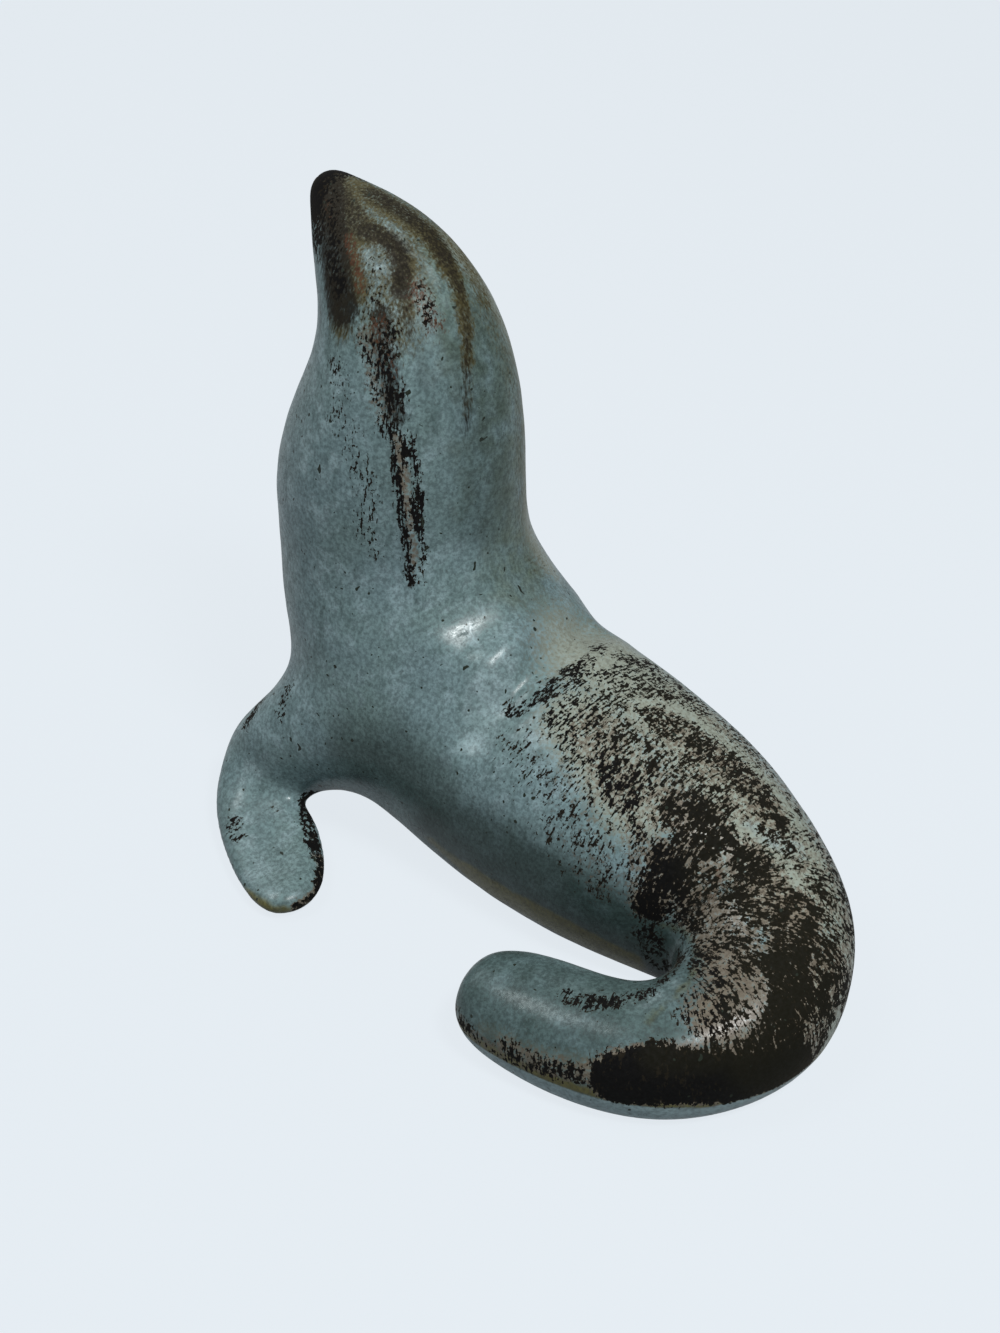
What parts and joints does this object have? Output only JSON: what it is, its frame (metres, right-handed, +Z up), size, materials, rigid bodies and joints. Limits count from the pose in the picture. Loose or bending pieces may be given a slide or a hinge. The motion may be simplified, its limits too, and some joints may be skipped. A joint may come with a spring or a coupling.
{
  "type": "seal figurine",
  "caption": "Glazed stoneware seal sitting upright with its snout raised, fore flippers spread to the sides and tail curled round to its left, resting on a flat base; for display.",
  "frame": {"origin": "middle of the bounding box in plan, on the plane the figurine stands on", "axes": "+Z up through the raised head, -Y the way the seal's chest faces, +X the seal's left side, to which the tail curls"},
  "size_m": [0.1828, 0.2326, 0.2109],
  "materials": {
    "glazed_stoneware": "satin blue-grey glaze broken by dark brown-black speckles and bare clay"
  },
  "bodies": {
    "root": {"seal": "glazed_stoneware"}
  },
  "joints": []
}
